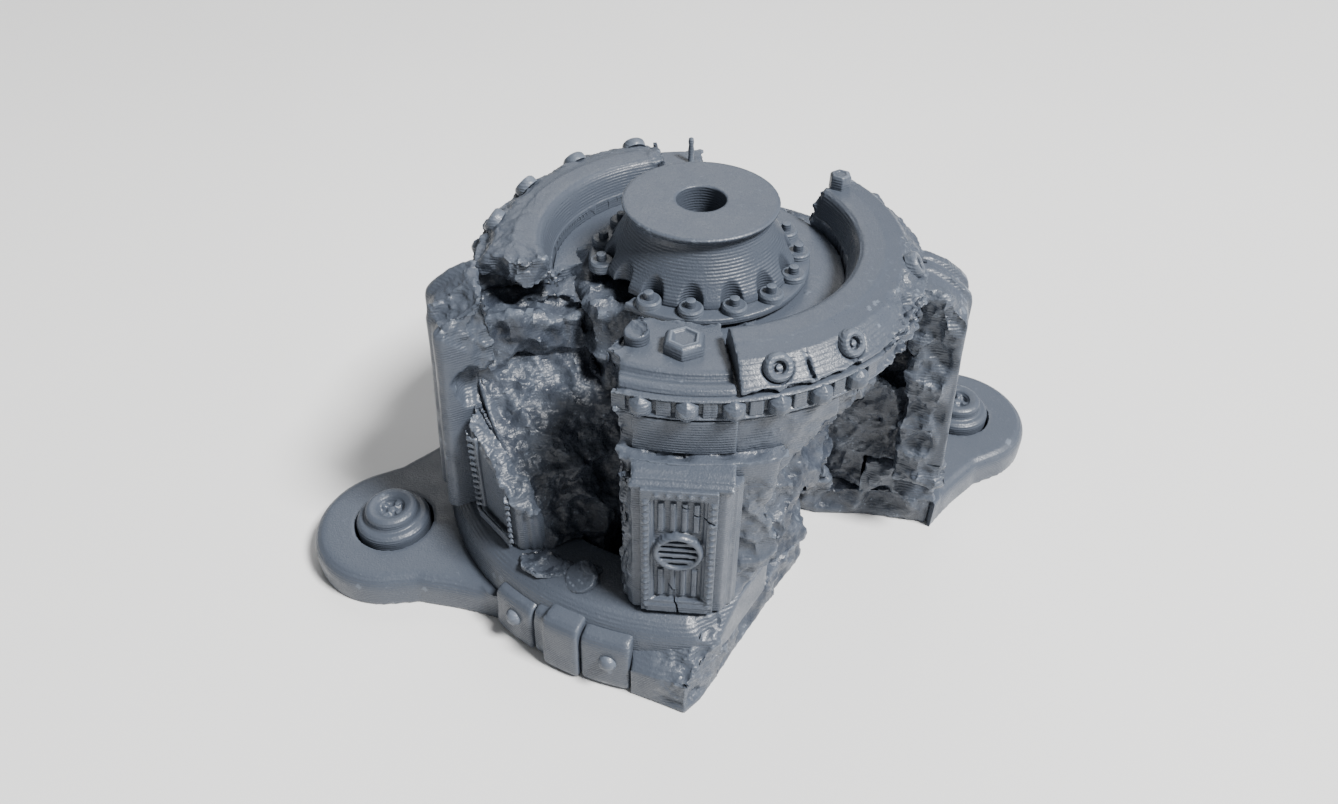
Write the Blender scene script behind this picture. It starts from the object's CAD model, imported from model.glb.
# %% [markdown]
# # A ruined gun-turret pedestal in printed plastic
# The real thing is a small piece of tabletop scenery: a round tower foot that once carried a gun
# turret. A quarter of it is blown away. It came off a filament printer in one blue-grey plastic,
# so every surface carries fine level lines, and the broken parts look like chewed concrete.
#
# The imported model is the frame: it says where each piece is and how large. Each piece is then
# remade in fine detail in the place of its plain node. First the frame is loaded and measured.

# %% Load the frame
import math

import bpy
import numpy as np
from mathutils import Matrix, Vector


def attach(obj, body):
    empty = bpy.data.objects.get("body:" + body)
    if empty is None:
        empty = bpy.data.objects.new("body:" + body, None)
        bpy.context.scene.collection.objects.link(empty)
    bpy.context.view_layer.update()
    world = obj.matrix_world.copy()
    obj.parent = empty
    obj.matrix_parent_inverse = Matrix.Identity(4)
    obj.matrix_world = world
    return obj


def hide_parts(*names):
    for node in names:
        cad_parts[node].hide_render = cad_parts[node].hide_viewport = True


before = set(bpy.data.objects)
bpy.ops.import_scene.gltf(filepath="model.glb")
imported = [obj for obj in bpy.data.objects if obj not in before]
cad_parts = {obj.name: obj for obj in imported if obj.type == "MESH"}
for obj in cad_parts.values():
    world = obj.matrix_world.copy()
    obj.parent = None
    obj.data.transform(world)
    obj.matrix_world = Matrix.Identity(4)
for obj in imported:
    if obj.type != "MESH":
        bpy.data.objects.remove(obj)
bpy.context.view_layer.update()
MM = 0.001
print("nodes in the frame:", len(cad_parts))

# %% [markdown]
# ## Finishes
# Everything is one plastic, but it doesn't look the same everywhere. Made surfaces are satin with
# level lines. Broken surfaces scatter light from countless small lips of plastic, so they show pale
# specks and lighter ridges. The finish is made with nodes that read Object coordinates, which
# are the same for every piece because all pieces share one origin. An image would smear over so
# many small shapes, so none is used.
#
# Node trees are long-winded to write. The class below wraps one socket, so that an expression
# such as `1 - mask * 0.5` adds its own Math nodes.

# %% A socket that does sums
class Wire:
    """One output socket of a finish, or a sum of them."""

    def __init__(self, finish, socket):
        self.finish = finish
        self.socket = socket

    def sum(self, operation, first, second):
        return self.finish.add("ShaderNodeMath", {"operation": operation}, {0: first, 1: second})

    def __add__(self, other):
        return self.sum("ADD", self, other)

    def __sub__(self, other):
        return self.sum("SUBTRACT", self, other)

    def __rsub__(self, other):
        return self.sum("SUBTRACT", other, self)

    def __mul__(self, other):
        return self.sum("MULTIPLY", self, other)

    __radd__ = __add__
    __rmul__ = __mul__


class Finish:
    """A material whose nodes are added one by one."""

    def __init__(self, name):
        self.material = bpy.data.materials.new(name)
        self.material.use_nodes = True
        self.tree = self.material.node_tree
        self.surface = self.tree.nodes["Principled BSDF"]

    def add(self, kind, settings=None, inputs=None, output=0):
        """A node of any type: its settings first, then numbers or wires into its sockets."""
        node = self.tree.nodes.new(kind)
        for key, value in (settings or {}).items():
            setattr(node, key, value)
        for key, value in (inputs or {}).items():
            self.feed(node.inputs[key], value)
        return Wire(self, node.outputs[output])

    def feed(self, socket, value):
        if isinstance(value, Wire):
            self.tree.links.new(value.socket, socket)
        else:
            socket.default_value = value

    def blend(self, amount, dark, light):
        """A mix of two colours."""
        return self.add("ShaderNodeMix", {"data_type": "RGBA"}, {0: amount, 6: dark, 7: light}, 2)

    def steps(self, value, low, high):
        """0 below low, 1 above high and smooth between them."""
        return self.add("ShaderNodeMapRange", {"interpolation_type": "SMOOTHSTEP"},
                        {0: value, 1: low, 2: high})

    def grain(self, place, per_mm, detail=2.0):
        """Noise with so many lumps to a millimetre."""
        return self.add("ShaderNodeTexNoise", None,
                        {"Vector": place, "Scale": per_mm * 1000.0, "Detail": detail})


# %% [markdown]
# The two finishes share one recipe. A sine of the height gives the level lines, a slow noise bends
# them a little as a real nozzle does, and a fine noise pits the plastic. The finest noise varies
# the gloss from spot to spot, so the surface glints. The broken finish has weaker lines, more grain
# and pale flecks. Pointiness, which is high on ridges and low in hollows, lightens the lips and
# darkens the pits.

# %% The plastic
LEVEL = 0.3                    # height of one printed level, mm
BODY = (0.060, 0.071, 0.092, 1.0)
DEEP = (0.034, 0.041, 0.056, 1.0)
PALE = (0.155, 0.180, 0.222, 1.0)


def plastic(name, line_depth, grain_depth, fleck, roughness):
    """Blue-grey printed plastic; depths are shares of the bump."""
    finish = Finish(name)
    place = finish.add("ShaderNodeTexCoord", output=3)
    height = finish.add("ShaderNodeSeparateXYZ", None, {0: place}, 2)
    wander = finish.grain(place, 0.12)
    levels = height * (1000.0 / LEVEL) + wander * 0.5
    line = finish.add("ShaderNodeMath", {"operation": "SINE"}, {0: levels * (2 * math.pi)})
    grain = finish.grain(place, 2.6, 4.0)
    dust = finish.grain(place, 0.45, 5.0)
    glint = finish.grain(place, 5.5, 1.0)
    ridge = finish.add("ShaderNodeNewGeometry", output=7)
    line = line * finish.steps(dust, 0.25, 0.75)
    relief = line * line_depth + grain * grain_depth + glint * 0.3 + dust * (grain_depth * 0.6)
    bump = finish.add("ShaderNodeBump", None,
                      {"Strength": 1.0, "Distance": 0.1 * MM, "Height": relief})
    colour = finish.blend(finish.steps(dust, 0.36, 0.66), DEEP if fleck > 0.3 else BODY, BODY)
    colour = finish.blend(finish.steps(ridge, 0.515, 0.60) * 0.55, colour, PALE)
    colour = finish.blend(finish.steps(ridge, 0.485, 0.41) * 0.5, colour, DEEP)
    specks = finish.steps(grain, 0.60, 0.70) * fleck
    colour = finish.blend(specks * finish.steps(dust, 0.44, 0.60), colour, PALE)
    finish.feed(finish.surface.inputs["Base Color"], colour)
    finish.feed(finish.surface.inputs["Roughness"],
                roughness + (dust - 0.5) * 0.35 + (glint - 0.5) * 0.5)
    finish.feed(finish.surface.inputs["Normal"], bump)
    finish.surface.inputs["IOR"].default_value = 1.46
    return finish.material


MADE = plastic("level_lined_plastic", 0.2, 0.3, 0.25, 0.4)
BROKEN = plastic("broken_plastic", 0.08, 0.9, 0.85, 0.38)
print("finishes:", MADE.name, BROKEN.name)

# %% [markdown]
# ## Tools
# Round pieces are drawn as a line and spun, as on a lathe. The line starts as one vertex, which is
# extruded from point to point. Walls and panels are the same line filled and extruded. These few
# helpers wrap the operators, and each finished piece is handed over in `keep`.

# %% Drawing, spinning and extruding
def alone(piece):
    """Select one object, with everything else deselected."""
    bpy.ops.object.select_all(action="DESELECT")
    piece.select_set(True)
    bpy.context.view_layer.objects.active = piece
    return piece


def polar(radius, azimuth, height=0.0):
    angle = math.radians(azimuth)
    return Vector((radius * math.cos(angle), radius * math.sin(angle), height))


def drawn(name, points, fill=True):
    """Pull one vertex from point to point, in mm, and stay in edit mode."""
    bpy.ops.object.select_all(action="DESELECT")
    bpy.ops.mesh.primitive_plane_add(size=MM)
    piece = bpy.context.object
    piece.name = piece.data.name = name
    bpy.ops.object.mode_set(mode="EDIT")
    bpy.ops.mesh.select_mode(type="VERT")
    bpy.ops.mesh.select_all(action="SELECT")
    bpy.ops.mesh.merge(type="CENTER")
    spots = [Vector(point) * MM for point in points]
    bpy.ops.transform.translate(value=spots[0])
    for here, there in zip(spots, spots[1:]):
        bpy.ops.mesh.extrude_region_move(TRANSFORM_OT_translate={"value": there - here})
    bpy.ops.mesh.select_all(action="SELECT")
    if fill:
        bpy.ops.mesh.edge_face_add()
    return piece


def closed(piece):
    """Merge doubles, turn the faces outwards and leave edit mode."""
    bpy.ops.mesh.select_all(action="SELECT")
    bpy.ops.mesh.remove_doubles(threshold=0.002 * MM)
    bpy.ops.mesh.normals_make_consistent(inside=False)
    bpy.ops.object.mode_set(mode="OBJECT")
    return piece


def turned(name, profile, span=None, steps=96):
    """Spin a (radius, height) profile round the tower axis, all the way or over a span."""
    ring = profile[0][0] > 0.0
    piece = drawn(name, [(radius, 0.0, height) for radius, height in profile], fill=ring)
    if span is None:
        if ring:
            bpy.ops.mesh.delete(type="ONLY_FACE")
            bpy.ops.mesh.select_all(action="SELECT")
        turn, start = 360.0, 0.0
    else:
        start, turn = span[0], span[1] - span[0]
    bpy.ops.transform.rotate(value=-math.radians(start), orient_axis="Z", center_override=(0, 0, 0))
    bpy.ops.mesh.spin(steps=steps, angle=math.radians(turn), center=(0, 0, 0), axis=(0, 0, -1))
    return closed(piece)


def slab(name, profile, left, right, azimuth):
    """A (distance, height) profile at an azimuth, extruded sideways from left to right."""
    out, side = polar(1.0, azimuth), polar(1.0, azimuth + 90.0)
    piece = drawn(name, [out * far + side * left + Vector((0, 0, height))
                         for far, height in profile])
    bpy.ops.mesh.extrude_region_move(
        TRANSFORM_OT_translate={"value": side * (right - left) * MM})
    return closed(piece)


def block(name, azimuth, across, out, up):
    """A box given by its ranges across, outwards and upwards, in mm."""
    return slab(name, [(out[0], up[0]), (out[1], up[0]), (out[1], up[1]), (out[0], up[1])],
                across[0], across[1], azimuth)


def prism(name, outline, low, high):
    """An outline on the ground plane, extruded between two heights."""
    piece = drawn(name, [(x, y, low) for x, y in outline])
    bpy.ops.mesh.extrude_region_move(TRANSFORM_OT_translate={"value": (0, 0, (high - low) * MM)})
    return closed(piece)


def stood(piece, radius, azimuth, height, tip=0.0, across=0.0):
    """Move a piece made on the axis to its place; tip leans its top outwards by so many degrees."""
    alone(piece)
    piece.rotation_euler = (0.0, math.radians(tip), math.radians(azimuth))
    piece.location = (polar(radius, azimuth, height) + polar(across, azimuth + 90.0)) * MM
    bpy.ops.object.transform_apply(location=True, rotation=True, scale=True)
    return piece


def twin(piece, name):
    """A copy with its own mesh."""
    alone(piece)
    bpy.ops.object.duplicate()
    double = bpy.context.object
    double.name = double.data.name = name
    return double


def joined(name, pieces):
    """Several shells as one object."""
    alone(pieces[0])
    for piece in pieces:
        piece.select_set(True)
    if len(pieces) > 1:
        bpy.ops.object.join()
    whole = bpy.context.object
    whole.name = whole.data.name = name
    return whole


def finish_modifier(piece, kind, **settings):
    """Add a modifier, set it and apply it."""
    alone(piece)
    step = piece.modifiers.new(kind.lower(), kind)
    for key, value in settings.items():
        setattr(step, key, value)
    bpy.ops.object.modifier_apply(modifier=step.name)
    return piece


def carved(piece, tool, solver="EXACT"):
    """Cut one mesh with another, which is then thrown away."""
    finish_modifier(piece, "BOOLEAN", object=tool, operation="DIFFERENCE", solver=solver)
    bpy.data.objects.remove(tool, do_unlink=True)
    return piece


def sliced(piece, point, facing):
    """Take off what lies on the facing side of a plane through a point in mm, and fill the cut."""
    alone(piece)
    bpy.ops.object.mode_set(mode="EDIT")
    bpy.ops.mesh.select_mode(type="VERT")
    bpy.ops.mesh.select_all(action="SELECT")
    bpy.ops.mesh.bisect(plane_co=Vector(point) * MM, plane_no=facing, use_fill=True,
                        clear_outer=True)
    bpy.ops.object.mode_set(mode="OBJECT")
    return piece


def eased(piece, width, angle=35.0, segments=2):
    """Round the sharp edges by so many mm."""
    return finish_modifier(piece, "BEVEL", width=width * MM, segments=segments,
                           limit_method="ANGLE", angle_limit=math.radians(angle),
                           use_clamp_overlap=True)


def cast(piece, grid, soften=3):
    """Voxel remesh: overlapping shells become one skin with softly rounded corners."""
    finish_modifier(piece, "REMESH", mode="VOXEL", voxel_size=grid * MM, use_smooth_shade=True)
    return finish_modifier(piece, "SMOOTH", factor=0.5, iterations=soften)


made_pieces = []


def keep(piece, nodes, material=MADE, crease=38.0):
    """Shade a finished piece, give it its finish and tell the frame what it stands for."""
    alone(piece)
    bpy.ops.object.shade_smooth_by_angle(angle=math.radians(crease))
    piece.data.materials.clear()
    piece.data.materials.append(material)
    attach(piece, "root")
    if nodes:
        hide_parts(*nodes)
    made_pieces.append(piece)
    print(piece.name, len(piece.data.polygons), "faces")
    return piece


# %% [markdown]
# ## Breaking things
# Broken masonry has three sizes of shape: scooped hollows with sharp rims, chips of a millimetre
# or two, and a fine crust. Displace modifiers give all three. Voronoi distance leaves hollows with
# ridges between them, and hard noise gives the creases. A vertex group holds the made faces still,
# so only the fracture is rough. The weights come from a rule on radius, azimuth and height.

# %% Rough surfaces
def texture(name, kind, size, **settings):
    pattern = bpy.data.textures.new(name, kind)
    pattern.noise_scale = size * MM
    for key, value in settings.items():
        setattr(pattern, key, value)
    return pattern


SCOOPS = texture("scoops", "VORONOI", 4.6)
CHIPS = texture("chips", "VORONOI", 1.9)
CREASES = texture("creases", "CLOUDS", 2.4, noise_type="HARD_NOISE", noise_depth=3)
CRUST = texture("crust", "CLOUDS", 0.7, noise_type="HARD_NOISE", noise_depth=2)


def spots_of(piece):
    """Vertex places in mm, as columns x, y, z."""
    flat = np.empty(len(piece.data.vertices) * 3)
    piece.data.vertices.foreach_get("co", flat)
    return flat.reshape(-1, 3) / MM


def weighed(piece, rule):
    """A vertex group named broken, from a rule on radius, azimuth and height."""
    x, y, z = spots_of(piece).T
    weights = np.clip(rule(np.hypot(x, y), np.degrees(np.arctan2(y, x)) % 360.0, z), 0.0, 1.0)
    levels = np.round(weights * 16).astype(int)
    group = piece.vertex_groups.new(name="broken")
    for level in range(1, 17):
        group.add(np.flatnonzero(levels == level).tolist(), level / 16, "REPLACE")
    return piece


def broken(piece, rule, scoops=1.5, chips=0.55, creases=0.7, crust=0.22, middle=0.5):
    """Roughen the part of a dense mesh that the rule picks out."""
    weighed(piece, rule)
    for pattern, strength, level in ((SCOOPS, scoops, middle), (CREASES, creases, 0.6),
                                     (CHIPS, chips, 0.5), (CRUST, crust, 0.5)):
        finish_modifier(piece, "DISPLACE", texture=pattern, texture_coords="LOCAL",
                        strength=strength * MM, mid_level=level, vertex_group="broken")
    return piece


def copied(name, *nodes):
    """A merged copy of frame nodes, to carve further."""
    parts = []
    for node in nodes:
        part = bpy.data.objects.new(node + "_copy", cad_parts[node].data.copy())
        bpy.context.scene.collection.objects.link(part)
        alone(part)
        bpy.ops.object.mode_set(mode="EDIT")
        bpy.ops.mesh.select_all(action="SELECT")
        bpy.ops.mesh.remove_doubles(threshold=0.001 * MM)
        bpy.ops.object.mode_set(mode="OBJECT")
        parts.append(part)
    return joined(name, parts)


def hollowed(piece, pits):
    """Scoop out ellipsoid pits, each (x, y, z) and its three half sizes in mm."""
    for centre, sizes in pits:
        bpy.ops.object.select_all(action="DESELECT")
        bpy.ops.mesh.primitive_ico_sphere_add(subdivisions=3, radius=MM,
                                              location=Vector(centre) * MM, scale=sizes)
        tool = bpy.context.object
        bpy.ops.object.transform_apply(location=True, rotation=True, scale=True)
        finish_modifier(tool, "DISPLACE", texture=CREASES, texture_coords="LOCAL",
                        strength=1.2 * MM, mid_level=0.5)
        carved(piece, tool)
    return piece


def rise(value, low, high):
    """0 below low and 1 above high."""
    return np.clip((value - low) / (high - low), 0.0, 1.0)


# %% [markdown]
# ## Camera, floor and light
# The view is from slightly above, with a short lens close by, so the near edge is drawn larger
# than the far one. The basin it stands on is left out, and a plain pale sheet takes its place.
# Two soft lamps stand for the ceiling lights: a small strong one on the right, and a wide one
# behind, whose sheen lifts the level faces above the upright ones.

# %% Camera
PITCH, ROLL = math.radians(40.824), math.radians(0.87)
forward = Vector((0.0, math.cos(PITCH), -math.sin(PITCH)))
right = Vector((1.0, 0.0, 0.0))
up = right.cross(forward)
across = right * math.cos(ROLL) + up * math.sin(ROLL)
above = up * math.cos(ROLL) - right * math.sin(ROLL)
eye = Vector((-2.92, -89.29, 91.04)) * MM
camera_data = bpy.data.cameras.new("view")
camera = bpy.data.objects.new("view", camera_data)
bpy.context.scene.collection.objects.link(camera)
looking = Matrix((across, above, -forward)).transposed().to_4x4()
camera.matrix_world = Matrix.Translation(eye) @ looking
camera_data.sensor_width = 36.0
camera_data.lens = 26.906
camera_data.clip_start = 0.001
bpy.context.scene.camera = camera
print("lens", camera_data.lens)

# %% Floor
bpy.ops.object.select_all(action="DESELECT")
bpy.ops.mesh.primitive_plane_add(size=3.0, location=(0.0, 0.0, -0.02 * MM))
floor = bpy.context.object
floor.name = "pale_floor"
enamel = Finish("pale_floor")
floor_place = enamel.add("ShaderNodeTexCoord", output=3)
cloud = enamel.grain(floor_place, 0.01)
enamel.feed(enamel.surface.inputs["Base Color"],
            enamel.blend(cloud, (0.78, 0.775, 0.765, 1.0), (0.83, 0.825, 0.815, 1.0)))
enamel.feed(enamel.surface.inputs["Roughness"], 0.24 + cloud * 0.1)
floor.data.materials.append(enamel.material)

# %% Lamps
def lamp(name, place, size, watts, tint=(1.0, 1.0, 1.0)):
    """A soft square lamp aimed at the middle of the tower, placed in metres."""
    light = bpy.data.lights.new(name, "AREA")
    light.energy = watts
    light.size = size
    light.color = tint
    holder = bpy.data.objects.new(name, light)
    bpy.context.scene.collection.objects.link(holder)
    aim = Vector((0.0, 0.0, 0.02)) - Vector(place)
    turn = aim.to_track_quat("-Z", "Y").to_matrix().to_4x4()
    holder.matrix_world = Matrix.Translation(place) @ turn


lamp("key_right", (0.66, -0.36, 1.08), 0.3, 46.0)
lamp("ceiling_back", (-0.1, 1.2, 1.15), 1.0, 7.0)
world = bpy.data.worlds.new("soft_room")
world.use_nodes = True
world.node_tree.nodes["Background"].inputs["Color"].default_value = (0.96, 0.98, 1.0, 1.0)
world.node_tree.nodes["Background"].inputs["Strength"].default_value = 0.22
bpy.context.scene.world = world

# %% [markdown]
# ## The hub
# The turret sat on this cone. Its disc has a thin lip, and round-topped niches are cut into its
# foot, one for each bolt. The cone is one spun line. The niches are cut with one tool made of
# fifteen copies, because one cut of many separate shapes is quicker than fifteen cuts.

# %% Hub cone
BOLT_STEP = 24.0               # degrees from one hub bolt to the next
FIRST_BOLT = 240.6
FLANGE_TOP = 34.3
hub_cone = turned("hub_cone_fluted", [
    (2.54, 41.0), (7.8, 41.0), (8.0, 40.9), (8.02, 40.6), (7.7, 40.4), (7.38, 40.05), (7.42, 39.4),
    (7.75, 38.6), (8.3, 37.5), (9.1, 36.1), (9.75, 35.1), (9.95, 34.6), (9.95, 34.2),
    (2.54, 34.2)], steps=120)
niche = turned("niche", [(0.0, 39.0), (0.5, 38.9), (0.9, 38.5), (1.12, 37.9), (1.2, 37.0),
                         (1.22, 33.0), (0.0, 33.0)], steps=20)
niches = [stood(twin(niche, "niche_%d" % step), 9.9, FIRST_BOLT + BOLT_STEP * step, 0.0)
          for step in range(15)]
bpy.data.objects.remove(niche, do_unlink=True)
carved(hub_cone, joined("niches", niches))
cast(hub_cone, 0.145, 6)
keep(hub_cone, ["hub_cone"])

# %% [markdown]
# The flange below the cone has snapped off on its left, where only a thin pointed corner is left.
# The bolts are a washer with a round pin. One is drawn and copied fourteen times.

# %% Hub flange and bolts
hub_flange = turned("hub_flange_snapped", [
    (2.6, FLANGE_TOP), (11.35, FLANGE_TOP), (11.57, 34.15), (11.57, 33.6), (11.2, 33.35),
    (10.4, 33.2), (2.6, 33.2)], span=(229.0, 556.0), steps=110)
cast(hub_flange, 0.16)
broken(hub_flange, lambda r, a, z: 1 - rise(
    np.minimum((a - 229.0) % 360.0, (196.0 - a) % 360.0), 1, 5),
    scoops=0.9, chips=0.5, creases=0.4, crust=0.1)
keep(hub_flange, ["hub_flange"])

bolt = turned("hub_bolt", [(0.0, 1.55), (0.3, 1.52), (0.48, 1.42), (0.52, 1.2), (0.52, 0.72),
                           (0.8, 0.66), (1.1, 0.72), (1.24, 0.58), (1.28, 0.4), (1.28, -0.3),
                           (0.0, -0.3)], steps=24)
for step in range(14):
    head = twin(bolt, "hub_bolt_%02d_round" % (step + 1))
    stood(head, 10.3, FIRST_BOLT + BOLT_STEP * step, FLANGE_TOP)
    keep(head, ["hub_bolt_%02d" % (step + 1)])
bpy.data.objects.remove(bolt, do_unlink=True)

# %% [markdown]
# ## The ring round the hub
# Floor, rim and shelf are spun lines too. The rim's profile has a smooth inner slope, a narrow flat
# top, a gentle fall and a steep outer bevel with a lip below it. Its broken ends are slanted: a
# tool is cut through first, and the dense cast is then roughened near the ends and along the
# outer edge.

# %% Ring floor
ring_floor = turned("ring_floor_cracked", [(1.5, 33.0), (15.4, 33.0), (15.4, 31.4), (1.5, 31.4)],
                    span=(247.0, 546.0), steps=100)
carved(ring_floor, prism("floor_break", [(-30.0, -2.6), (-15.3, -2.2), (-13.4, -0.4), (-11.8, 0.5),
                                         (-9.0, 0.2), (-2.0, -4.0), (-6.0, -30.0), (-30.0, -30.0)],
                         30.0, 36.0))
cast(ring_floor, 0.2)
broken(ring_floor, lambda r, a, z: np.maximum(
    1 - rise(z, 32.2, 32.9), 1 - rise(np.minimum((a - 247.0) % 360.0, (185.0 - a) % 360.0), 0, 5)) *
    (r < 14.9), scoops=0.7, chips=0.5, creases=0.5)
keep(ring_floor, ["ring_floor"])

# %% Rim segments
RIM_LINE = [(15.3, 32.9), (15.35, 33.6), (15.6, 34.9), (15.95, 36.2), (16.25, 36.85), (16.7, 37.15),
            (17.1, 37.2), (19.0, 37.2), (19.1, 37.12), (21.0, 36.85), (21.25, 36.7), (22.75, 35.4),
            (22.95, 35.25), (23.35, 35.15), (23.45, 34.9), (23.3, 34.6), (22.9, 34.5), (22.9, 34.2),
            (15.3, 34.2)]
screw_seat = turned("screw_seat", [(0.0, 3.0), (1.55, 3.0), (1.55, -0.35), (0.0, -0.35)], steps=24)


def seats(azimuths):
    """Sunk seats for cap screws, square to the rim's outer bevel."""
    return joined("seats", [stood(twin(screw_seat, "seat"), 21.95, azimuth, 36.25, tip=55.0)
                            for azimuth in azimuths])


right_rim = turned("rim_segment_right_bolted", RIM_LINE, span=(278.2, 395.5), steps=150)
carved(right_rim, seats((287.5, 308.0)))
seam = block("seam", 295.3, (-0.16, 0.16), (20.9, 24.0), (34.8, 37.6))
carved(right_rim, seam)
cast(right_rim, 0.16, 5)
broken(right_rim, lambda r, a, z: np.maximum.reduce([
    rise(a, 322.0, 332.0) * rise(r, 20.4, 21.3) * (1 - rise(z, 37.0, 37.15)),
    rise(a, 312.0, 325.0) * rise(r, 21.5, 22.3) * (a > 180) * (1 - rise(z, 35.4, 36.0)),
    (a < 180) * rise(r, 21.2, 21.9) * 0.5,
    (a < 180) * rise(a, 31.0, 35.0),
    rise(a, 279.0, 283.0) * (a < 308) * rise(r, 22.6, 22.9) * (1 - rise(z, 34.9, 35.2))]),
    scoops=1.0, chips=0.9, creases=0.7, crust=0.2)
keep(right_rim, ["rim_segment_right"])

left_rim = turned("rim_segment_left_chipped", RIM_LINE, span=(103.0, 201.0), steps=130)
carved(left_rim, prism("near_break", [(-15.0, -4.9), (-17.0, -6.4), (-18.9, -6.0), (-20.0, -4.6),
                                      (-22.0, -4.4), (-26.0, -3.0), (-26.0, -20.0), (-10.0, -20.0)],
                       30.0, 40.0), solver="FAST")
cast(left_rim, 0.16, 5)
broken(left_rim, lambda r, a, z: np.maximum.reduce([
    1 - rise(201.0 - a, 3.0, 13.0), 1 - rise(a - 103.0, 3.0, 8.0),
    rise(r, 19.9, 21.8) * 0.8, rise(a, 150.0, 185.0) * rise(r, 17.0, 19.5) * 0.45]),
    scoops=0.9, chips=0.8, creases=0.8, crust=0.22)
keep(left_rim, ["rim_segment_left"])

# %% [markdown]
# Cap screws sit in those seats: a ring with a socket and a small nub in it. They have no node of
# their own, so they only ride along.

# %% Cap screws on the rim
cap_screw = turned("cap_screw", [(0.0, 0.35), (0.28, 0.3), (0.34, 0.0), (0.56, 0.0), (0.62, 0.42),
                                 (0.82, 0.58), (1.12, 0.55), (1.32, 0.35), (1.38, 0.1),
                                 (1.38, -0.5), (0.0, -0.5)], steps=28)
for azimuth in (287.5, 308.0, 349.0, 110.2, 130.7, 151.2, 171.7):
    head = stood(twin(cap_screw, "rim_cap_screw_%03d" % azimuth), 21.95, azimuth, 36.2, tip=55.0)
    keep(head, [])
bpy.data.objects.remove(cap_screw, do_unlink=True)
bpy.data.objects.remove(screw_seat, do_unlink=True)

# %% Shelf where the rim is gone
shelf = turned("ring_shelf_ragged", [
    (13.3, 35.25), (20.3, 35.25), (20.8, 35.1), (21.0, 34.75), (21.15, 34.55), (21.5, 34.7),
    (22.1, 34.95), (22.6, 34.85), (22.95, 34.5), (22.95, 33.9), (13.3, 33.9)],
    span=(243.5, 277.6), steps=60)
carved(shelf, prism("shelf_tear", [(-9.6, -18.2), (-8.4, -17.4), (-7.6, -18.4), (-7.4, -22.0),
                                   (-6.4, -24.0), (-20.0, -24.0), (-20.0, -10.0), (-7.2, -11.0),
                                   (-6.6, -14.4), (-8.2, -15.9)], 33.0, 36.0))
cast(shelf, 0.15)
broken(shelf, lambda r, a, z: np.maximum(1 - rise(a, 246.0, 250.5), 1 - rise(r, 13.5, 14.0)),
       scoops=0.8, chips=0.5, creases=0.5, crust=0.15)
keep(shelf, ["ring_shelf"])

# %% [markdown]
# The nut on the shelf has six soft corners and a dished top. A lathe shape spun in six steps is
# already six-sided, and a wide bevel rounds it. The stud beside it is snapped, so its top is cut at
# a slant and roughened.

# %% Nut and broken stud
nut = turned("shelf_nut", [(0.0, 1.05), (1.05, 1.02), (1.25, 1.25), (1.55, 1.3), (1.9, 1.15),
                           (2.12, 0.75), (2.15, -0.4), (0.0, -0.4)], steps=6)
eased(nut, 0.4, 30.0, 4)
stood(nut, 17.2, 264.6, 35.3)
keep(nut, ["shelf_bolt"])


def snapped_stud(name, size, tall, grid=0.12):
    """A plain stud whose top is torn off at a slant."""
    stud = turned(name, [(0.0, tall), (size * 0.8, tall), (size, tall - 0.3), (size, -0.6),
                         (0.0, -0.6)], steps=28)
    sliced(stud, (0.0, 0.0, tall - 0.45), (0.32, -0.2, 0.92))
    return cast(stud, grid)


stud = stood(snapped_stud("shelf_stud_snapped", 1.2, 1.9), 17.1, 249.6, 35.3)
broken(stud, lambda r, a, z: rise(z, 36.2, 36.6), scoops=0.5, chips=0.4, creases=0.3, crust=0.1)
keep(stud, ["broken_shelf_stud"])

rim_end_bolt = stood(turned("rim_end_nut", [(0.0, 1.35), (0.5, 1.3), (0.75, 1.45), (1.1, 1.4),
                                            (1.25, 1.15), (1.28, -0.5), (0.0, -0.5)], steps=6),
                     18.4, 32.5, 37.3)
eased(rim_end_bolt, 0.1, 30.0)
keep(rim_end_bolt, ["rim_end_bolt"])

# %% [markdown]
# ## The studded belt
# Below the rim runs a shallow channel between two thin lips. Faceted studs sit in it every ten
# degrees, with a low block of two bars between each two. The bars are cast, which softens their
# edges.

# %% Belt
BELT_LINE = [(15.4, 31.7), (22.7, 31.7), (23.45, 31.95), (23.5, 32.2), (23.05, 32.4), (23.05, 33.9),
             (23.5, 34.0), (23.6, 34.2), (23.3, 34.35), (15.4, 34.35)]
right_belt = turned("stud_belt_right_channel", BELT_LINE, span=(250.5, 396.0), steps=150)
cast(right_belt, 0.17)
broken(right_belt, lambda r, a, z: np.maximum.reduce([
    1 - rise((a - 250.5) % 360.0, 0.5, 4.0), (r < 15.8) * 0.3,
    rise(r, 19.0, 21.0) * rise((a - 250.5) % 360.0, 63.0, 72.0),
    (1 - rise((396.0 - a) % 360.0, 2.0, 6.0))]), scoops=1.2, chips=0.8, creases=0.7)
keep(right_belt, ["stud_belt_right"])
left_belt = turned("stud_belt_left_channel", BELT_LINE, span=(88.0, 189.0), steps=100)
cast(left_belt, 0.18)
broken(left_belt, lambda r, a, z: np.maximum(
    1 - rise(189.0 - a, 1.0, 6.0), 1 - rise(a - 88.0, 1.0, 6.0)),
    scoops=1.2, chips=0.8, creases=0.7)
keep(left_belt, ["stud_belt_left"])

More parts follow.
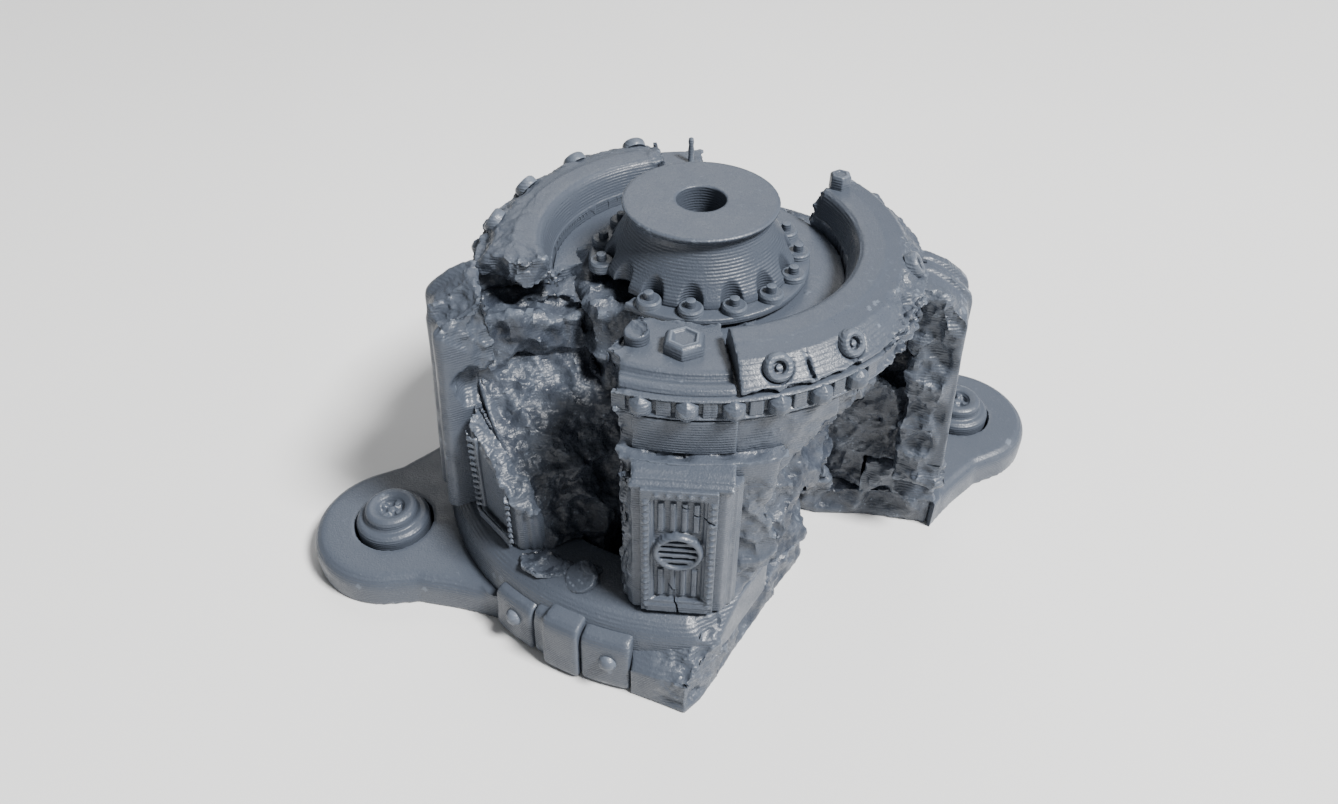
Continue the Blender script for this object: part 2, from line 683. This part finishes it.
# %% Belt studs and blocks
STUD_STEP = 10.2               # degrees from one belt stud to the next
STUD_SEAT, STUD_HEIGHT = 23.45, 33.15
belt_stud = turned("belt_stud", [(0.0, 1.1), (0.25, 1.05), (0.8, 0.75), (1.15, 0.25), (1.18, -0.4),
                                 (0.0, -0.4)], steps=6)
eased(belt_stud, 0.08, 25.0)
for step in range(6):
    head = stood(twin(belt_stud, "belt_stud_%d_faceted" % (step + 1)), STUD_SEAT,
                 256.5 + STUD_STEP * step, STUD_HEIGHT, tip=90.0)
    keep(head, ["belt_stud_%d" % (step + 1)] if step < 5 else [])
for azimuth in [92.0 + STUD_STEP * step for step in range(10)]:
    head = stood(twin(belt_stud, "rear_belt_stud_%03d" % azimuth), STUD_SEAT, azimuth,
                 STUD_HEIGHT, tip=90.0)
    keep(head, [])
bpy.data.objects.remove(belt_stud, do_unlink=True)
for group, first, count in (("front", 251.4, 7), ("rear", 97.1, 9)):
    bars = []
    for step in range(count):
        for side in (-0.38, 0.38):
            bars.append(block("bar", first + STUD_STEP * step, (side - 0.3, side + 0.3),
                              (22.8, 23.42), (32.2, 34.0)))
    keep(cast(joined("belt_blocks_" + group, bars), 0.12), [])

# %% [markdown]
# ## The foot
# A plate stands on the ground, with a round curb on it and a lug in each of three directions. The
# fourth lug and a quarter of the plate are gone. The plate and the curb are carved from whole
# discs, and only the faces inside the notch are rough. A slanted cut takes the curb's corner off,
# so that it runs down to the broken lug.

# %% Plate and curb
NOTCH = [(-1.4, -70.0), (-1.0, -33.0), (2.4, -28.6), (4.6, -24.8), (7.6, -20.1), (9.5, -16.6),
         (12.6, -12.1), (10.9, -5.7), (11.2, -3.2), (15.3, -4.5), (22.1, -4.7), (29.3, -6.0),
         (70.0, -16.0), (70.0, -70.0)]
base_plate = turned("base_plate_torn", [
    (0.0, 4.4), (29.0, 4.4), (29.3, 4.1), (29.4, 0.0), (0.0, 0.0)], steps=140)
carved(base_plate, prism("notch", NOTCH, -2.0, 8.0))
cast(base_plate, 0.34)
broken(base_plate, lambda r, a, z: rise(28.9 - r, 0.0, 0.5) * rise(z, 0.5, 1.4), scoops=1.8)
keep(base_plate, ["base_plate"], BROKEN)

curb_ring = turned("curb_ring_torn", [
    (20.9, 9.0), (25.4, 9.0), (26.8, 8.85), (27.9, 8.35), (28.7, 7.6), (29.15, 6.7), (29.35, 5.4),
    (29.5, 3.9), (20.9, 3.9)], steps=160)
carved(curb_ring, prism("notch", NOTCH, 2.0, 12.0))
TIP_POINT, TIP_FACING = (-0.9, -28.2, 8.5), (0.35, -0.62, 0.70)


def corner_tool(point, facing, reach):
    """A box whose underside lies on a plane through a point, to take off one corner."""
    turn = Vector(facing).to_track_quat("Z", "Y")
    bpy.ops.object.select_all(action="DESELECT")
    bpy.ops.mesh.primitive_cube_add(size=2 * reach * MM, rotation=turn.to_euler(),
                                    location=(Vector(point) + turn @ Vector((0, 0, reach))) * MM)
    bpy.ops.object.transform_apply(location=True, rotation=True, scale=True)
    return bpy.context.object


carved(curb_ring, corner_tool(TIP_POINT, TIP_FACING, 9.0))
cast(curb_ring, 0.28)


def notch_edge(r, a, z):
    """1 at the curb's two broken ends, fading to 0 seven degrees away from them."""
    front_end = 1 - rise((275.5 - a) % 360.0, 1.0, 7.0)
    back_end = 1 - rise((a - 347.5) % 360.0, 1.0, 7.0)
    return np.maximum(front_end, back_end)


broken(curb_ring, notch_edge, scoops=2.0, chips=0.7)
keep(curb_ring, ["curb_ring"])

# %% [markdown]
# The lugs are flat plates with a round end and flared flanks. Each one has a deep round recess
# and a two-step stud that fills most of it. The plate's upper edge is rounded by a bevel on just
# those edges, which are picked by their height and their distance from the recess.

# %% Lugs
LUG_REACH = 36.26
flank = [(26.0, 14.6), (27.2, 13.75), (28.4, 13.0), (29.7, 12.2), (31.0, 11.45), (32.3, 10.8),
         (33.6, 10.15), (34.6, 9.6)]
nose = [(LUG_REACH + 9.2 * math.cos(math.radians(turn)), 9.2 * math.sin(math.radians(turn)))
        for turn in range(90, -91, -6)]
lug_outline = flank + nose[1:-1] + [(x, -y) for x, y in reversed(flank)]
well = stood(turned("well", [(0.0, 9.0), (4.5, 9.0), (4.5, 1.0), (0.0, 1.0)], steps=64),
             LUG_REACH, 0.0, 0.0)
lug = prism("lug", lug_outline, 0.0, 4.0)
alone(lug)
bpy.ops.object.mode_set(mode="EDIT")
bpy.ops.mesh.select_mode(type="EDGE")
bpy.ops.mesh.select_all(action="DESELECT")
bpy.ops.object.mode_set(mode="OBJECT")
for edge in lug.data.edges:
    ends = [lug.data.vertices[index].co / MM for index in edge.vertices]
    edge.select = all(end.z > 3.9 and end.x > 26.5 for end in ends)
bpy.ops.object.mode_set(mode="EDIT")
bpy.ops.mesh.bevel(offset=1.5 * MM, segments=5, affect="EDGES")
bpy.ops.object.mode_set(mode="OBJECT")
carved(lug, well)
cast(lug, 0.26)
lug_stud = turned("lug_stud", [
    (0.0, 6.0), (0.45, 5.95), (0.6, 5.6), (1.25, 5.55), (1.45, 6.1), (1.75, 6.45), (2.35, 6.6),
    (2.8, 6.45), (3.0, 6.1), (3.05, 5.35), (3.2, 5.2), (3.7, 5.15), (4.05, 4.9), (4.2, 4.5),
    (4.2, 0.9), (0.0, 0.9)], steps=64)
lobe_line = [(0.0, 6.05), (0.3, 6.0), (0.4, 5.7), (0.4, 5.3), (0.0, 5.3)]
lobes = [stood(turned("lobe", lobe_line, steps=12), 1.0, 45.0 + 90.0 * step, 0.0)
         for step in range(4)]
lug_stud = joined("lug_stud", [lug_stud] + lobes)
cast(lug_stud, 0.13)
stood(lug_stud, LUG_REACH, 0.0, 0.0)
for side, azimuth in (("left", 196.6), ("right", 16.6), ("rear", 106.6)):
    keep(stood(twin(lug, side + "_lug_rounded"), 0.0, azimuth, 0.0), [side + "_lug"])
    keep(stood(twin(lug_stud, side + "_lug_stud_stepped"), 0.0, azimuth, 0.0), [side + "_lug_stud"])
for pattern in (lug, lug_stud):
    bpy.data.objects.remove(pattern, do_unlink=True)

lug_stub = prism("front_lug_stub_torn", [(0.9, -30.9), (-0.9, -32.7), (-3.2, -31.7), (-5.4, -30.8),
                                         (-6.4, -30.4), (-6.2, -28.4), (2.6, -28.2)], 0.0, 7.4)
sliced(lug_stub, TIP_POINT, TIP_FACING)
sliced(lug_stub, (-3.2, -31.0, 4.7), (-0.25, -0.5, 0.83))
cast(lug_stub, 0.2)
broken(lug_stub, lambda r, a, z: rise(z, 0.4, 1.2) * rise(a, 262.0, 266.0), scoops=0.9)
keep(lug_stub, ["front_lug_stub"])

# %% [markdown]
# ## Brackets between the lugs
# Each is two plates and a strap over their joint, with dome rivets. They are short stretches of
# spun mouldings, eased at their edges and cast, so that their corners are round.

# %% Brackets
def moulding(name, outer, top, span):
    """A stretch of band round the foot, with a soft shoulder and rounded corners."""
    return eased(turned(name, [(28.0, top), (outer - 1.2, top), (outer - 0.5, top - 0.25),
                               (outer - 0.1, top - 0.8), (outer, top - 1.4), (outer + 0.25, 0.9),
                               (outer, 0.0), (28.0, 0.0)], span=span, steps=18), 0.5, 60.0, 3)


def bracket(name, centre, nodes):
    """Left plate, strap with its fold, and right plate; nodes says what each stands for."""
    plate = cast(moulding(name + "_left_plate_eased", 30.5, 6.5, (centre - 15.8, centre - 5.6)),
                 0.25, 8)
    strap = cast(joined(name + "_strap_eased", [
        moulding("fold", 30.3, 6.9, (centre - 5.4, centre - 2.4)),
        moulding("rib", 31.1, 7.6, (centre - 2.2, centre + 5.8))]), 0.25, 8)
    far = cast(moulding(name + "_right_plate_eased", 30.8, 7.1, (centre + 6.0, centre + 16.2)),
               0.25, 8)
    if len(nodes) == 3:
        for piece, node in zip((plate, strap, far), nodes):
            keep(piece, [node])
    else:
        keep(joined(name + "_eased", [plate, strap, far]), nodes)


bracket("front_bracket", 241.6, ["front_bracket_left_plate", "front_bracket_strap",
                                 "front_bracket_right_plate"])
for centre in (61.6, 151.6):
    name = "rear_bracket_%d_clamp" % round(centre)
    bracket(name, centre, [name])
dome = turned("dome_rivet", [(0.0, 0.75), (0.35, 0.7), (0.7, 0.5), (0.95, 0.15), (1.0, -0.4),
                             (0.0, -0.4)], steps=20)
for azimuth, radius, height in ((231.4, 30.6, 4.0), (253.4, 30.9, 4.2), (141.4, 30.6, 4.0),
                                (163.4, 30.9, 4.2), (51.4, 30.6, 4.0), (73.4, 30.9, 4.2)):
    keep(stood(twin(dome, "bracket_rivet_%03d" % azimuth), radius, azimuth, height, tip=90.0), [])
bpy.data.objects.remove(dome, do_unlink=True)

# %% [markdown]
# ## Masonry
# The round wall and the rubble inside start from merged copies of the frame's own solids, because
# their outlines already fit. Hollows are cut in first. The cast then gives an even grid of small
# faces, and the displacements break everything that lies deeper than the made skin. Two thin
# plates have no node: a raised panel over the front column, and a torn shell to its right.

# %% Walls
def below_skin(r, a, z):
    """0 on the tower's smooth outer skin, 1 well inside it."""
    return rise(np.where(z > 27.75, 22.95, 24.55) - r, 0.1, 1.1)


left_wall = hollowed(copied("left_wall_broken", "left_wall"), [
    ((-14.6, -7.2, 17.9), (2.2, 2.0, 2.8)), ((-15.5, -5.5, 31.2), (4.5, 2.2, 0.9)),
    ((-20.4, -8.2, 13.0), (2.0, 1.6, 3.0)), ((-18.0, -7.0, 25.0), (2.6, 1.2, 2.0))])
cast(left_wall, 0.3)
broken(left_wall, below_skin, scoops=2.0, middle=0.3)
keep(left_wall, ["left_wall"], BROKEN)

right_wall = hollowed(copied("right_wall_broken", "right_wall"), [
    ((22.4, -4.4, 23.4), (3.6, 2.6, 3.1)), ((21.0, -4.6, 14.8), (1.7, 1.8, 1.4)),
    ((24.2, -5.2, 12.1), (2.3, 1.8, 1.3)), ((19.4, -4.3, 27.6), (0.6, 1.5, 0.5)),
    ((18.2, -4.0, 18.0), (0.9, 1.5, 0.7))])
cast(right_wall, 0.25)
broken(right_wall, below_skin, scoops=1.8, middle=0.3)
keep(right_wall, ["right_wall"], BROKEN)

front_wall = copied("front_wall_broken", "front_wall")
cast(front_wall, 0.24)
broken(front_wall, lambda r, a, z: np.maximum.reduce([
    below_skin(r, a, z), 1 - rise(a, 253.0, 255.0),
    rise(a, 276.5, 279.0) * (1 - rise(z, 24.0, 26.0))]), scoops=1.6)
keep(front_wall, ["front_wall"])

# %% Plates on the wall
upper_panel = cast(turned("upper_panel", [(22.2, 27.6), (23.3, 27.6), (23.4, 27.8), (23.4, 31.75),
                                          (22.2, 31.75)], span=(254.3, 278.2), steps=40), 0.16)
broken(upper_panel, lambda r, a, z: 0.8 * np.maximum(
    1 - rise(a, 254.3, 256.5), 1 - rise(z, 27.6, 27.9)),
    scoops=0.6, chips=0.5, creases=0.4, crust=0.1)
keep(upper_panel, [])

shell = turned("side_shell_torn", [(21.6, 20.5), (23.2, 20.5), (23.2, 31.7), (21.6, 31.7)],
               span=(278.0, 304.0), steps=40)
sliced(shell, polar(22.5, 291.5, 25.2), polar(0.66, 21.5, -0.75))
cast(shell, 0.18)
broken(shell, lambda r, a, z: np.maximum(1 - rise(r, 22.4, 23.0), 0.35), scoops=1.2, chips=0.8,
       crust=0.15)
keep(shell, [])

# %% Rubble
core = copied("rubble_core_broken", "rubble_core")
cast(core, 0.33)
broken(core, lambda r, a, z: rise(z, 4.0, 6.0), scoops=2.6, middle=0.15)
keep(core, ["rubble_core"], BROKEN)

SLOPE = 219.6                  # azimuth of the broken left side; it falls towards the front
left_rubble = turned("left_rubble_broken", [
    (24.7, 31.0), (24.7, 9.0), (21.0, 8.9), (20.9, 4.2), (12.0, 4.2), (12.0, 31.0)],
    span=(191.5, 243.0), steps=36)
sliced(left_rubble, polar(24.5, SLOPE, 18.2), polar(0.87, SLOPE + 90.0, 1.0) + polar(0.4, SLOPE))
sliced(left_rubble, polar(22.0, 233.0, 9.6), polar(1.0, 312.0, 0.55) + polar(0.35, 225.0))
cast(left_rubble, 0.22)
broken(left_rubble, below_skin, scoops=2.0)
keep(left_rubble, ["left_rubble"], BROKEN)

right_rubble = hollowed(copied("right_rubble_broken", "right_rubble"), [
    ((15.1, -6.0, 6.4), (0.9, 2.2, 0.7)), ((16.0, -10.5, 27.0), (3.0, 2.0, 3.0)),
    ((8.0, -16.0, 22.0), (2.5, 2.0, 3.0))])
cast(right_rubble, 0.24)
broken(right_rubble, lambda r, a, z: rise(r, 12.0, 13.0), scoops=2.4, middle=0.2)
keep(right_rubble, ["right_rubble"], BROKEN)

# %% [markdown]
# ## Armour
# A pilaster is a shaft with stepped edges and a cornice. On it stands the plaque: a riveted frame
# round a sunk panel with upright flutes and a plain ribbed roundel. All its small parts are
# separate shells, and one fine cast melts them together, just as the print does. The cracks are
# thin jagged prisms cut out of the cast.

# %% Pilasters
def shaft(name, outline, low, high, azimuth):
    """An (across, out) outline at an azimuth, extruded upwards."""
    out, side = polar(1.0, azimuth), polar(1.0, azimuth + 90.0)
    return prism(name, [(out * v + side * u)[:2] for u, v in outline], low, high)


def pilaster(name, azimuth, left=-5.6, right=5.8):
    """Shaft and cornice as overlapping shells."""
    steps = [(left, 24.0), (left, 25.0), (left + 0.5, 25.1), (left + 0.6, 25.7), (left + 1.2, 26.4),
             (right - 1.5, 26.4), (right - 1.0, 26.0), (right - 0.9, 25.5), (right - 0.4, 25.4),
             (right - 0.3, 24.9), (right, 24.8), (right, 24.0)]
    return joined(name, [
        shaft("shaft", steps, 9.0, 26.2, azimuth),
        slab("cornice", [(24.0, 26.0), (26.4, 26.0), (26.6, 26.2), (26.6, 26.6), (26.2, 26.75),
                         (26.0, 27.0), (25.6, 27.15), (24.9, 27.4), (24.0, 27.6)],
             left + 0.8, right - 0.8, azimuth)])


def plaque(name, azimuth, roundel=True):
    """Riveted frame, sunk fluted panel and ribbed roundel."""
    frame_shell = block("frame", azimuth, (-3.6, 3.6), (26.0, 27.0), (9.3, 26.5))
    carved(frame_shell, block("opening", azimuth, (-2.65, 2.65), (26.4, 28.0), (11.0, 25.4)))
    shells = [frame_shell, block("sill", azimuth, (-3.0, 3.0), (26.9, 27.2), (9.4, 10.4))]
    for across, up in (((-2.7, -2.35), (10.9, 25.4)), ((2.35, 2.7), (10.9, 25.4)),
                       ((-2.7, 2.7), (25.0, 25.45))):
        shells.append(block("step", azimuth, across, (26.2, 26.7), up))
    for place in (-1.65, -0.55, 0.55, 1.65) if roundel else ():
        for up in ((20.9, 24.6), (11.5, 15.4)):
            shells.append(block("flute", azimuth, (place - 0.24, place + 0.24), (26.2, 26.72), up))
    if roundel:
        ring = turned("ring", [(1.85, 0.2), (1.95, 0.75), (2.2, 0.8), (2.42, 0.5), (2.45, -0.2),
                               (1.85, -0.2)], steps=48)
        shells.append(stood(ring, 26.5, azimuth, 18.2, tip=90.0))
        for height, reach in ((17.0, 1.6), (17.8, 1.95), (18.6, 1.95), (19.4, 1.6)):
            shells.append(block("rib", azimuth, (-reach, reach), (26.2, 27.05),
                                (height - 0.21, height + 0.21)))
    rivet = turned("rivet", [(0.0, 0.26), (0.2, 0.2), (0.3, 0.0), (0.3, -0.2), (0.0, -0.2)],
                   steps=8)
    places = [(side, 10.3 + 0.86 * step) for side in (-3.12, 3.12) for step in range(18)]
    places += [(across, 25.95) for across in (-2.1, -1.05, 0.0, 1.05, 2.1)]
    for across, height in places:
        shells.append(stood(twin(rivet, "rivet"), 27.0, azimuth, height, tip=90.0, across=across))
    bpy.data.objects.remove(rivet, do_unlink=True)
    return joined(name, shells)


FRONT = 266.0                  # azimuth of the front pilaster
front_pilaster = pilaster("front_pilaster_stepped", FRONT)
cast(front_pilaster, 0.15)
broken(front_pilaster, lambda r, a, z: (1 - rise(a, 254.5, 256.5)) * rise(z, 9.6, 10.5),
       scoops=1.2, chips=0.8, creases=0.5, crust=0.15)
keep(front_pilaster, ["front_pilaster"])
front_plaque = plaque("front_plaque_riveted", FRONT)
cast(front_plaque, 0.11)


def cracked(piece, azimuth, path, depth, step):
    """Cut a thin jagged crack along (across, up) points, from 28 mm out to a given depth."""
    out, side = polar(1.0, azimuth), polar(1.0, azimuth + 90.0)
    line = path + [(u + step[0], v + step[1]) for u, v in reversed(path)]
    tool = drawn("crack", [out * depth + side * u + Vector((0, 0, v)) for u, v in line])
    bpy.ops.mesh.extrude_region_move(TRANSFORM_OT_translate={"value": out * (28.0 - depth) * MM})
    carved(piece, closed(tool))
    print("cracked", piece.name, len(piece.data.polygons), "faces")
    return piece


cracked(front_plaque, FRONT, [(0.1, 24.2), (0.9, 23.8), (1.3, 23.2), (2.0, 22.9), (2.7, 22.7),
                              (3.4, 22.3), (4.2, 22.2)], 26.1, (0.0, 0.26))
cracked(front_plaque, FRONT, [(-1.2, 15.3), (-0.9, 14.3), (-1.0, 13.2), (-0.45, 12.2), (-0.5, 11.2),
                              (-0.1, 10.4), (0.1, 8.9)], 26.1, (0.26, 0.0))
keep(front_plaque, ["front_plaque", "front_medallion"])


# %% Broken pilaster on the left
STUMP, STUMP_SHIFT = 221.0, -1.7    # azimuth, and mm sideways along its face
STUMP_HEIGHT, STUMP_FALL = 18.2, 0.8
slope_facing = polar(STUMP_FALL, SLOPE + 90.0, 1.0)


def aside(piece):
    """Move a piece sideways along the stump's face."""
    alone(piece)
    piece.location = polar(STUMP_SHIFT, STUMP + 90.0) * MM
    bpy.ops.object.transform_apply(location=True, rotation=True, scale=True)
    return piece


stump = aside(pilaster("stump_pilaster_broken", STUMP, -4.9, 5.2))
cast(sliced(stump, polar(24.0, SLOPE, STUMP_HEIGHT), slope_facing), 0.16)
broken(stump, lambda r, a, z: rise(
    z - STUMP_HEIGHT + STUMP_FALL * r * np.sin(np.radians(a - SLOPE)), -1.2, -0.3),
    scoops=1.2, chips=0.6, creases=0.5)
keep(stump, ["stump_pilaster"])
stump_plaque = aside(plaque("stump_plaque_broken", STUMP, roundel=False))
cast(sliced(stump_plaque, polar(24.0, SLOPE, STUMP_HEIGHT - 0.3), slope_facing), 0.12)
keep(stump_plaque, ["stump_plaque"])

# %% Buttresses
BUTTRESS_LINE = [(22.8, 35.0), (24.0, 34.8), (25.6, 33.9), (27.2, 32.7), (28.0, 31.9), (28.2, 31.2),
                 (28.3, 28.0), (29.5, 9.0), (24.0, 9.0), (24.0, 27.0), (22.8, 27.0)]


def buttress(name, span, ribs):
    """A curved shoulder of armour with raised upright ribs."""
    shells = [turned(name, BUTTRESS_LINE, span=span, steps=24)]
    for start, end in ribs:
        lifted = [(radius + (0.45 if radius > 24.2 else 0.0),
                   height + (0.3 if height > 30 else 0.0)) for radius, height in BUTTRESS_LINE]
        shells.append(turned("rib", lifted, span=(start, end), steps=6))
    return joined(name, shells)


left_buttress = cast(buttress("left_buttress_ribbed", (185.5, 206.2),
                              ((186.6, 189.0), (195.4, 197.8), (202.9, 205.3))), 0.25)
hollowed(left_buttress, [((-22.6, -11.6, 25.2), (2.3, 2.4, 2.9))])
cast(left_buttress, 0.2)
broken(left_buttress, lambda r, a, z: np.maximum.reduce([
    rise(a, 201.5, 204.0) * (1 - rise(r, 24.4, 25.4)), (r < 24.3) * 1.0,
    rise(z + (28.0 - r) * 0.8, 31.7, 32.7) * rise(a, 190.0, 194.0)]), scoops=1.6)
keep(left_buttress, ["left_buttress"])
rear_buttress = buttress("rear_buttress_ribbed", (103.0, 124.0),
                         ((104.2, 106.6), (112.4, 114.8), (120.4, 122.8)))
cast(rear_buttress, 0.25)
keep(rear_buttress, ["rear_buttress"])
right_buttress = buttress("right_buttress_ribbed", (343.5, 362.0), ((352.0, 354.2), (357.6, 360.6)))
cast(right_buttress, 0.2)
broken(right_buttress, lambda r, a, z: (1 - rise(a, 345.0, 348.0)) * (a > 180) *
       (1 - rise(r, 27.2, 28.2) * (z > 12)), scoops=2.2, chips=0.8, middle=0.35)
keep(right_buttress, ["right_buttress"])

# %% Loose ends
curb_bolt = stood(snapped_stud("curb_bolt_snapped", 1.8, 1.2), 25.5, 242.7, 9.0, tip=8.0)
broken(curb_bolt, lambda r, a, z: rise(z, 9.5, 9.9), scoops=0.5, chips=0.4, creases=0.4)
keep(curb_bolt, ["curb_bolt"])
crumbs = prism("curb_crumbs", [(-18.6, -19.6), (-16.2, -18.6), (-13.8, -19.9), (-12.4, -20.6),
                               (-9.8, -21.4), (-10.6, -22.9), (-13.6, -22.4), (-16.4, -22.6),
                               (-18.2, -21.4)], 8.8, 9.3)
cast(crumbs, 0.15)
broken(crumbs, lambda r, a, z: rise(z, 8.9, 9.1), scoops=0.9, chips=0.7, creases=0.5)
keep(crumbs, [], BROKEN)
spike = turned("rebar_spike_bent", [
    (0.0, 2.7), (0.28, 2.6), (0.36, 2.2), (0.3, 1.7), (0.38, 1.2), (0.32, 0.7), (0.42, -0.6),
    (0.0, -0.6)], steps=14)
stood(spike, 20.5, 92.0, 34.6, tip=18.0)
keep(spike, ["rebar_spike"])
